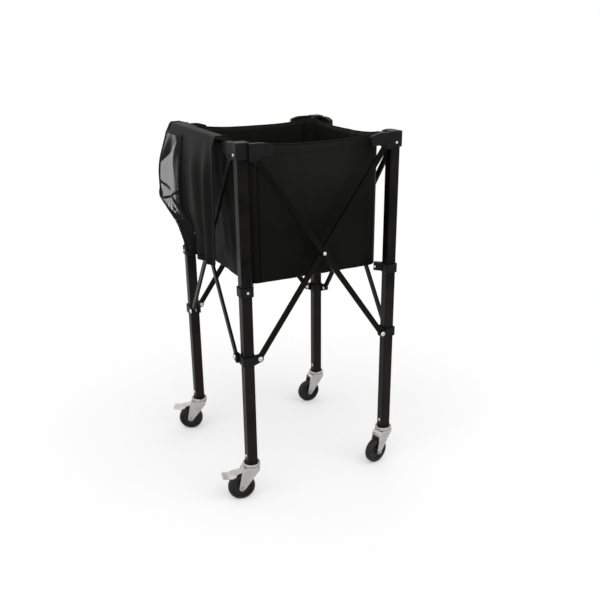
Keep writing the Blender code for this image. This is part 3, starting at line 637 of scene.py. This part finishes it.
def panel_mesh(path, side):
    # The cloth under a stretch of rim, turned in at the foot to meet the floor
    rows = 26
    bm = bmesh.new()
    grid = []
    for j in range(rows + 1):
        v = j / rows
        row = []
        for x, y, nx, ny in path:
            top = rim_height(x, y) - RIM_DROP
            z = top + (BAG_FLOOR + 0.008 - top) * v
            out = slack(side, x, z) * (1 - smooth(v, 0.93, 1.0) * 0.3)
            out += 0.0010 * (1 - smooth(top - z, HEM_DEEP - 0.002, HEM_DEEP))
            out -= BAG_CLOTH
            row.append(bm.verts.new((x + nx * out, y + ny * out, z)))
        grid.append(row)
    for inset, up in ((0.0022, 0.0030), (0.0060, 0.0009), (0.0120, 0.0003), (0.0210, 0.0001)):
        row = []
        for x, y, nx, ny in path:
            out = slack(side, x, BAG_FLOOR) * 0.7 - inset
            row.append(bm.verts.new((x + nx * out, y + ny * out, BAG_FLOOR + up)))
        grid.append(row)
    for upper, lower in zip(grid, grid[1:]):
        for i in range(len(path) - 1):
            bm.faces.new((upper[i], lower[i], lower[i + 1], upper[i + 1]))
    bmesh.ops.rotate(bm, cent=(0, 0, 0), matrix=Matrix.Rotation(side * pi / 2, 3, "Z"),
                     verts=bm.verts)
    bmesh.ops.translate(bm, vec=middle, verts=bm.verts)
    return smooth_mesh_from(bm, "bag_wall")


def cloth_skin(obj, thick, offset=-1.0):
    skin = obj.modifiers.new("cloth", "SOLIDIFY")
    skin.thickness = thick
    skin.offset = offset


def cord_mesh(name, spots, radius, tapered=False):
    # A round cord or seam through the spots, thin at both ends if it is tapered
    curve = bpy.data.curves.new(name, "CURVE")
    curve.dimensions = "3D"
    curve.bevel_depth = radius
    curve.bevel_resolution = 2
    curve.use_fill_caps = True
    line = curve.splines.new("POLY")
    line.points.add(len(spots) - 1)
    for i, (point, at) in enumerate(zip(line.points, spots)):
        point.co = (at.x, at.y, at.z, 1.0)
        if tapered:
            point.radius = sqrt(sin(pi * (i + 0.4) / (len(spots) - 0.2)))
    drawn = bpy.data.objects.new(name, curve)
    bpy.context.scene.collection.objects.link(drawn)
    bpy.context.view_layer.update()
    graph = bpy.context.evaluated_depsgraph_get()
    mesh = bpy.data.meshes.new_from_object(drawn.evaluated_get(graph), depsgraph=graph)
    bpy.data.objects.remove(drawn, do_unlink=True)
    mesh.shade_smooth()
    return mesh


def rim_line(path, side, drop, out):
    # Follows the top of a wall or corner, some way down the cloth
    turn = Matrix.Rotation(side * pi / 2, 3, "Z")
    spots = []
    for x, y, nx, ny in path:
        z = rim_height(x, y) - RIM_DROP - drop
        stand = slack(side, x, z) + out
        spots.append(turn @ Vector((x + nx * stand, y + ny * stand, z)) + middle)
    return spots


# Each corner and each wall goes with the body of one leg
FOLDED = 0.31
CLOSING = 2 * BAG_HALF * (1 - FOLDED)
near = middle + Vector((-BAG_HALF, -BAG_HALF, 0))
corner_end = middle + Vector((-FLAT, -FLAT, 0))
WALLS = [("front", "frame", (1, 0, 0)), ("right", "corner_front_right", (0, 1, 0)),
         ("back", "corner_back_left", (1, 0, 0)), ("left", "frame", (0, 1, 0))]


def bag_part(obj, body, axis=None, anchor=near, keep=FOLDED):
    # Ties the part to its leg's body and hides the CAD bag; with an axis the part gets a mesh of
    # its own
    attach(obj, body)
    if axis is not None:
        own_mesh(obj)
    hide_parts("bag")


def bag_panel(where, path, side, *gathering):
    # The cloth, its piped rim and the stitched edge of its hem
    panel = piece("bag_" + where, panel_mesh(path, side), bag_black)
    cloth_skin(panel, BAG_CLOTH)
    bag_part(panel, *gathering)
    for tag, drop, radius, out in (("rim", 0.0006, 0.0016, -0.0004),
                                   ("hem_seam", HEM_DEEP, 0.0005, -0.0007)):
        name = "bag_%s_%s" % (tag, where)
        cord = cord_mesh(name, rim_line(path, side, drop, out), radius)
        bag_part(piece(name, cord, bag_black), *gathering)


for side, (where, body, axis) in enumerate(WALLS):
    bag_panel("wall_" + where, wall_path(), side, body, axis, corner_end,
              1 - CLOSING / (2 * FLAT))
    corner = CORNERS[side]
    bag_panel("corner_" + corner, corner_path(), side, CORNER_BODY[corner])


FLOOR_HALF = BAG_HALF - 0.008
FLOOR_FOLD = BAG_HALF - (2 * BAG_HALF) * FOLDED


def floor_mesh(low_x, high_x, low_y, high_y):
    # Part of the floor's cloth, which sags a little between the walls and is cut round at
    # the corners
    bm = bmesh.new()
    grid = []
    across = round((high_x - low_x) / 0.012)
    along = round((high_y - low_y) / 0.012)
    for j in range(along + 1):
        y = low_y + (high_y - low_y) * j / along
        row = []
        for i in range(across + 1):
            x = low_x + (high_x - low_x) * i / across
            u, w = x / FLOOR_HALF, y / FLOOR_HALF
            sag = 0.004 * (1 - min(1.0, u * u)) * (1 - min(1.0, w * w))
            inside = 1 - max(abs(u), abs(w))
            rumple = 0.0012 * sin(31 * x + 9 * y) * sin(27 * y - 5 * x) * inside
            over_x, over_y = max(0.0, abs(x) - FLAT), max(0.0, abs(y) - FLAT)
            reach = max(0.000001, sqrt(over_x ** 2 + over_y ** 2))
            keep = min(1.0, (FLOOR_HALF - FLAT) / reach)
            in_x = x - (1 - keep) * over_x * (1 if x > 0 else -1)
            in_y = y - (1 - keep) * over_y * (1 if y > 0 else -1)
            lift = 0.0016 + 0.0004 * inside
            row.append(bm.verts.new((in_x, in_y, BAG_FLOOR + lift - sag + rumple)))
        grid.append(row)
    for a, b in zip(grid, grid[1:]):
        for i in range(across):
            bm.faces.new((a[i], a[i + 1], b[i + 1], b[i]))
    bmesh.ops.translate(bm, vec=middle, verts=bm.verts)
    return smooth_mesh_from(bm, "bag_floor")


# The floor's cloth is cut in five parts, one going with each wall's body and its middle with the
# frame
edge, crease = FLOOR_HALF, FLOOR_FOLD
for where, body, axis, span in (
        ("front", "frame", (1, 0, 0), (-edge, edge, -edge, -crease)),
        ("back", "corner_back_left", (1, 0, 0), (-edge, edge, crease, edge)),
        ("left", "frame", (0, 1, 0), (-edge, -crease, -crease, crease)),
        ("right", "corner_front_right", (0, 1, 0), (crease, edge, -crease, crease)),
        ("middle", "frame", (1, 1, 0), (-crease, crease, -crease, crease))):
    base = piece("bag_floor_" + where, floor_mesh(*span), bag_black)
    cloth_skin(base, BAG_CLOTH, 0.0)
    base.modifiers["cloth"].use_rim = False
    bag_part(base, body, axis)


# Cover flap
# The bag's cover, sewn to the left rim and thrown back over the brackets and bars of that
# side: coated cloth with bound edges, and a knitted net at its rear edge, doubled along its
# borders and crossed by two straps.

FLAP_FROM = -0.140
FLAP_TO = 0.240
FLAP_HEM = 0.692
FLAP_LONG = 0.46
FLAP_CREST = 1.0425
LEG_OUT = 0.2275
OUTER = LEG_OUT + PLANE_OUT["outer"] + EAR_HALF + 0.0026


def flap_point(y, v):
    # From the bag's rim (v = 0) over the brackets and down outside the bars to the hem
    rim = rim_height(-BAG_HALF, min(y, BAG_HALF)) + 0.0007
    hem = FLAP_HEM + 0.012 * smooth(y, 0.06, FLAP_TO)
    bow = 0.5 + 0.5 * cos(26 * y + 0.9)
    fold = 0.5 + 0.5 * sin(58 * y + 2.2 * bow)
    across = [(BAG_HALF - 0.004, rim), (BAG_HALF + 0.010, rim + 0.002),
              (LEG_OUT + 0.004, max(FLAP_CREST, rim)), (OUTER + 0.002, FLAP_CREST - 0.0005)]
    if v < 0.3:
        t = v * 10
        i = min(2, int(t))
        f = t - i
        x = across[i][0] + (across[i + 1][0] - across[i][0]) * f
        return Vector((-x, y, across[i][1] + (across[i + 1][1] - across[i][1]) * f))
    t = (v - 0.3) / 0.7
    low = smooth(t, 0.0, 0.35)
    billow = 0.7 * smooth(t, 0.0, 0.45) + 0.3 * sin(pi * t)
    billow *= 0.027 * smooth(y, 0.02, 0.17) * (1 - 0.6 * smooth(t, 0.75, 1.0))
    x = OUTER + 0.004 + 0.007 * smooth(t, 0.0, 0.08) + low * (0.013 * fold + 0.006 * bow)
    x += 0.0012 * low * sin(90 * y + 8 * t)
    x += 0.010 * smooth(t, 0.58, 0.90) * smooth(y, -0.05, 0.20) * sin(104 * y + 0.6)
    top = FLAP_CREST - 0.002
    return Vector((-(x + billow), y, top - (top - hem) * t))


def flap_at(y, v):
    # The net end is drawn forward towards the hem, where the cloth bunches
    spot = flap_point(y, v)
    gather = 0.10 * smooth(v, 0.3, 1.0)
    spot.y += ((FLAP_FROM + FLAP_TO) / 2 - y) * gather
    rearward = max(0.0, (y - FLAP_FROM) / (FLAP_TO - FLAP_FROM))
    draw = 0.85 * smooth(v, 0.75, 0.86) + 0.15 * smooth(v, 0.82, 1.0)
    spot.y -= 0.200 * draw * rearward ** 1.7
    spot.x -= 0.0004
    return spot + middle


def flap_part(obj):
    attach(obj, "frame")
    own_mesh(obj)
    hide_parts("cover_flap")


def tape_mesh(name, spots, wide):
    # A bound edge or strap laid along the cloth through the given spots
    bm = bmesh.new()
    rows = []
    for at, across in spots:
        rows.append([bm.verts.new(at - across * wide / 2), bm.verts.new(at + across * wide / 2)])
    for a, b in zip(rows, rows[1:]):
        bm.faces.new((a[0], a[1], b[1], b[0]))
    return smooth_mesh_from(bm, name)


def run_of(points, push):
    # Spots along (y, v) pairs on the flap, lifted off the cloth, with their cross direction
    spots = []
    places = [flap_at(y, v) for y, v in points]
    for i, (y, v) in enumerate(points):
        ahead = places[min(i + 1, len(places) - 1)] - places[max(i - 1, 0)]
        normal = (flap_at(y + 0.002, v) - flap_at(y - 0.002, v)).cross(
            flap_at(y, v + 0.01) - flap_at(y, v - 0.01))
        normal.normalize()
        if normal.x > 0 or (abs(normal.x) < 0.2 and normal.z < 0):
            normal = -normal
        spots.append((places[i] + normal * push, ahead.normalized().cross(normal).normalized()))
    return spots


NET_TOP = 0.35


def net_edge(v):
    # The seam between cloth and net, slanting forward near the hem
    return 0.100 - 0.035 * smooth(v, 0.80, 1.0)


def black_net():
    # Knitted polyester net with small holes set crosswise, drawn 6.5 mm apart, coarser
    # than the real 4 mm, so that they show
    mat, tree, shader = new_finish("black_knitted_net", Roughness=0.7, Specular_IOR_Level=0.1)
    shader.inputs["Base Color"].default_value = from_hex("#1d1d1e")
    where = add(tree, "ShaderNodeTexCoord").outputs["UV"]
    laid = add(tree, "ShaderNodeMapping",
               {"Rotation": (0.0, 0.0, 0.785), "Scale": (154.0, 154.0, 154.0)},
               {"Vector": where})
    cells = add(tree, "ShaderNodeTexVoronoi", {"Scale": 1.0, "Randomness": 0.0},
                {"Vector": laid.outputs["Vector"]})
    thread = add(tree, "ShaderNodeMapRange",
                 {"From Min": 0.26, "From Max": 0.34, "To Min": 0.0, "To Max": 1.0},
                 {"Value": cells.outputs["Distance"]})
    tree.links.new(thread.outputs["Result"], shader.inputs["Alpha"])
    return mat


flap_black = coated_polyester("black_cover_polyester", "#050504", "#0d0d0c", 0.40, 1.40)
tape_black = coated_polyester("black_binding_tape", "#090909", "#121212", 0.72, 1.00)
net_black = black_net()
ROWS_ABOVE, ROWS_BESIDE = 30, 60


def flap_cloth_mesh():
    # Full width above the net, then only as far back as the seam
    front, rear = 56, 20
    bm = bmesh.new()
    grid = []
    for j in range(ROWS_ABOVE + ROWS_BESIDE + 1):
        above = j <= ROWS_ABOVE
        v = NET_TOP * j / ROWS_ABOVE
        if not above:
            v = NET_TOP + (1 - NET_TOP) * (j - ROWS_ABOVE) / ROWS_BESIDE
        seam = net_edge(v)
        row = [bm.verts.new(flap_at(FLAP_FROM + (seam - FLAP_FROM) * i / front, v))
               for i in range(front + 1)]
        if above:
            row += [bm.verts.new(flap_at(seam + (FLAP_TO - seam) * i / rear, v))
                    for i in range(1, rear + 1)]
        grid.append(row)
    for upper, lower in zip(grid, grid[1:]):
        for i in range(min(len(upper), len(lower)) - 1):
            bm.faces.new((upper[i], upper[i + 1], lower[i + 1], lower[i]))
    return smooth_mesh_from(bm, "flap_cloth")


def net_layer_mesh(name, inner, outer, columns, lift):
    # One layer of net between two lines across it, 0 at the seam and 1 at the rear edge,
    # with its place on the flat cloth kept for the pattern
    bm = bmesh.new()
    flat_place = {}
    grid = []
    for j in range(ROWS_BESIDE + 1):
        v = NET_TOP + (1 - NET_TOP) * j / ROWS_BESIDE
        seam = net_edge(v)
        row = []
        for i in range(columns + 1):
            c = inner(v) + (outer(v) - inner(v)) * i / columns
            y = seam + (FLAP_TO - seam) * c
            vert = bm.verts.new(flap_at(y, v) - Vector((lift, 0, 0)))
            flat_place[vert] = (y, v * FLAP_LONG)
            row.append(vert)
        grid.append(row)
    cut = bm.loops.layers.uv.new("cut")
    for upper, lower in zip(grid, grid[1:]):
        for i in range(columns):
            face = bm.faces.new((upper[i], upper[i + 1], lower[i + 1], lower[i]))
            for loop in face.loops:
                loop[cut].uv = flat_place[loop.vert]
    return smooth_mesh_from(bm, name)


def single_part(v):
    # Where the net is one layer deep: a spindle, closed at both ends
    return smooth(v, 0.36, 0.60) * (1 - smooth(v, 0.76, 0.86))


cloth = piece("flap_cloth", flap_cloth_mesh(), flap_black)
cloth_skin(cloth, 0.0011)
flap_part(cloth)
net = piece("flap_net", net_layer_mesh("flap_net", lambda v: 0.0, lambda v: 1.0, 24, 0.0),
            net_black)
flap_part(net)
for tag, inner, outer in (
        ("seam", lambda v: 0.0, lambda v: 0.22 - 0.14 * single_part(v)),
        ("edge", lambda v: 0.22 + 0.64 * single_part(v), lambda v: 1.0)):
    name = "flap_net_border_" + tag
    border = piece(name, net_layer_mesh(name, inner, outer, 12, 0.003), net_black)
    flap_part(border)


def line_between(a, b, steps):
    return [(a[0] + (b[0] - a[0]) * i / steps, a[1] + (b[1] - a[1]) * i / steps)
            for i in range(steps + 1)]


def route(stops, steps):
    # A polyline through (y, v) stops on the flap
    points = [stops[0]]
    for a, b in zip(stops, stops[1:]):
        points += line_between(a, b, steps)[1:]
    return points


net_seam = [(net_edge(v), v) for v in (NET_TOP + (1 - NET_TOP) * i / 50 for i in range(50))]
edge_runs = [("front_edge", line_between((-0.136, 0.02), (-0.136, 0.995), 50), 0.010),
             ("hem", line_between((FLAP_FROM, 0.985), (FLAP_TO, 0.985), 60), 0.010),
             ("rear", line_between((0.236, 0.05), (0.236, 0.995), 50), 0.010),
             ("net_seam", net_seam, 0.007),
             ("net_top", line_between((net_edge(NET_TOP), NET_TOP), (FLAP_TO, NET_TOP), 16),
              0.007),
             ("strap_down", route([(0.236, 0.60), (0.188, 0.645), (0.128, 0.70),
                                   (0.100, 0.775)], 10), 0.008),
             ("strap_up", route([(0.236, 0.765), (0.190, 0.735), (0.128, 0.70),
                                 (0.100, 0.655)], 10), 0.008)]


def flap_cord(name, points, radius, tapered=False):
    spots = [flap_at(y, v) for y, v in points]
    cord = piece(name, cord_mesh(name, spots, radius, tapered), tape_black)
    flap_part(cord)
    return cord


around = line_between((FLAP_FROM, 0.02), (FLAP_FROM, 0.985), 60)
around += line_between((FLAP_FROM + 0.004, 1.0), (FLAP_TO - 0.004, 1.0), 60)
around += line_between((FLAP_TO, 0.985), (FLAP_TO, 0.02), 60)
rear_edge = line_between((FLAP_TO, NET_TOP), (FLAP_TO, 0.98), 50)
knot_run = line_between((0.238, 0.690), (0.238, 0.765), 14)
tapes = [flap_cord("flap_edge_bead", around, 0.0021),
         flap_cord("flap_rear_cord", rear_edge, 0.0030),
         flap_cord("flap_strap_knot", knot_run, 0.0062, True)]
for tag, points, wide in edge_runs:
    spots = run_of(points, 0.0019 if tag == "strap_up" else 0.0013)
    tape = piece("flap_tape_" + tag, tape_mesh("flap_tape_" + tag, spots, wide),
                 tape_black)
    cloth_skin(tape, 0.0006, 0.0)
    flap_part(tape)
    tapes.append(tape)


# Studio
# A white sheet of a floor that keeps the cart's shadow, a bright white surround and two
# broad lamps, seen through a long lens from above the front left corner.

FLOOR_LIFT = 0.25


def white_floor():
    # White to the camera where nothing shades it, and thinning out well away from the cart
    mat, tree, shader = new_finish("white_floor", Roughness=0.9, Specular_IOR_Level=0.0)
    shader.inputs["Base Color"].default_value = from_hex("#f5f5f5")
    to_camera = add(tree, "ShaderNodeLightPath").outputs["Is Camera Ray"]
    lift = add(tree, "ShaderNodeEmission", {"Color": (1, 1, 1, 1)})
    glow = add(tree, "ShaderNodeMath", {1: FLOOR_LIFT}, {0: to_camera}, operation="MULTIPLY")
    tree.links.new(glow.outputs["Value"], lift.inputs["Strength"])
    both = add(tree, "ShaderNodeAddShader", None,
               {0: shader.outputs["BSDF"], 1: lift.outputs["Emission"]})
    where = add(tree, "ShaderNodeTexCoord").outputs["Object"]
    far = add(tree, "ShaderNodeVectorMath", None, {0: where}, operation="LENGTH")
    fade = add(tree, "ShaderNodeMapRange",
               {"From Min": 0.9, "From Max": 2.6, "To Min": 0.0, "To Max": 1.0},
               {"Value": far.outputs["Value"]}, interpolation_type="SMOOTHSTEP")
    clear = add(tree, "ShaderNodeBsdfTransparent")
    mixed = add(tree, "ShaderNodeMixShader", None,
                {0: fade.outputs["Result"], 1: both.outputs["Shader"],
                 2: clear.outputs["BSDF"]})
    end = next(n for n in tree.nodes if n.type == "OUTPUT_MATERIAL")
    tree.links.new(mixed.outputs["Shader"], end.inputs["Surface"])
    return mat


bm = bmesh.new()
bmesh.ops.create_grid(bm, x_segments=2, y_segments=2, size=6.0)
floor = bpy.data.objects.new("floor", mesh_from(bm, "floor"))
floor.data.materials.append(white_floor())
bpy.context.scene.collection.objects.link(floor)

world = bpy.data.worlds.new("studio_air")
bpy.context.scene.world = world
world.use_nodes = True
air = world.node_tree
air.nodes.clear()
path_info = add(air, "ShaderNodeLightPath")
seen = add(air, "ShaderNodeMath", None, {0: path_info.outputs["Is Camera Ray"],
                                         1: path_info.outputs["Is Glossy Ray"]},
           operation="MAXIMUM")
seen = add(air, "ShaderNodeMath", None, {0: seen.outputs["Value"],
                                         1: path_info.outputs["Is Transmission Ray"]},
           operation="MAXIMUM")
strength = add(air, "ShaderNodeMapRange", {"To Min": 0.62, "To Max": 1.0},
               {"Value": seen.outputs["Value"]})
sky = add(air, "ShaderNodeBackground", {"Color": (1, 1, 1, 1)},
          {"Strength": strength.outputs["Result"]})
add(air, "ShaderNodeOutputWorld", None, {"Surface": sky.outputs["Background"]})


def soft_lamp(name, way, power, spread):
    light = bpy.data.lights.new(name, "SUN")
    light.energy = power
    light.angle = radians(spread)
    obj = bpy.data.objects.new(name, light)
    bpy.context.scene.collection.objects.link(obj)
    obj.rotation_euler = Vector(way).to_track_quat("-Z", "Y").to_euler()


soft_lamp("lamp_left", (0.8, 0.5, -1.1), 0.55, 60)
soft_lamp("lamp_front", (-0.5, 1.0, -1.2), 0.50, 60)

camera_data = bpy.data.cameras.new("camera")
camera_data.sensor_width = 36.0
camera_data.lens = 43.709
camera = bpy.data.objects.new("camera", camera_data)
bpy.context.scene.collection.objects.link(camera)
eye = middle + Vector((-0.91826, -1.93275, 1.29218))
right_way = Vector((0.89259, -0.45079, -0.00881)).normalized()
up_way = Vector((0.16304, 0.30448, 0.93846)).normalized()
back_way = right_way.cross(up_way).normalized()
up_way = back_way.cross(right_way)
pose = Matrix((right_way, up_way, back_way)).transposed().to_4x4()
camera.matrix_world = Matrix.Translation(eye) @ pose
bpy.context.scene.camera = camera
bpy.context.scene.view_settings.view_transform = "Standard"
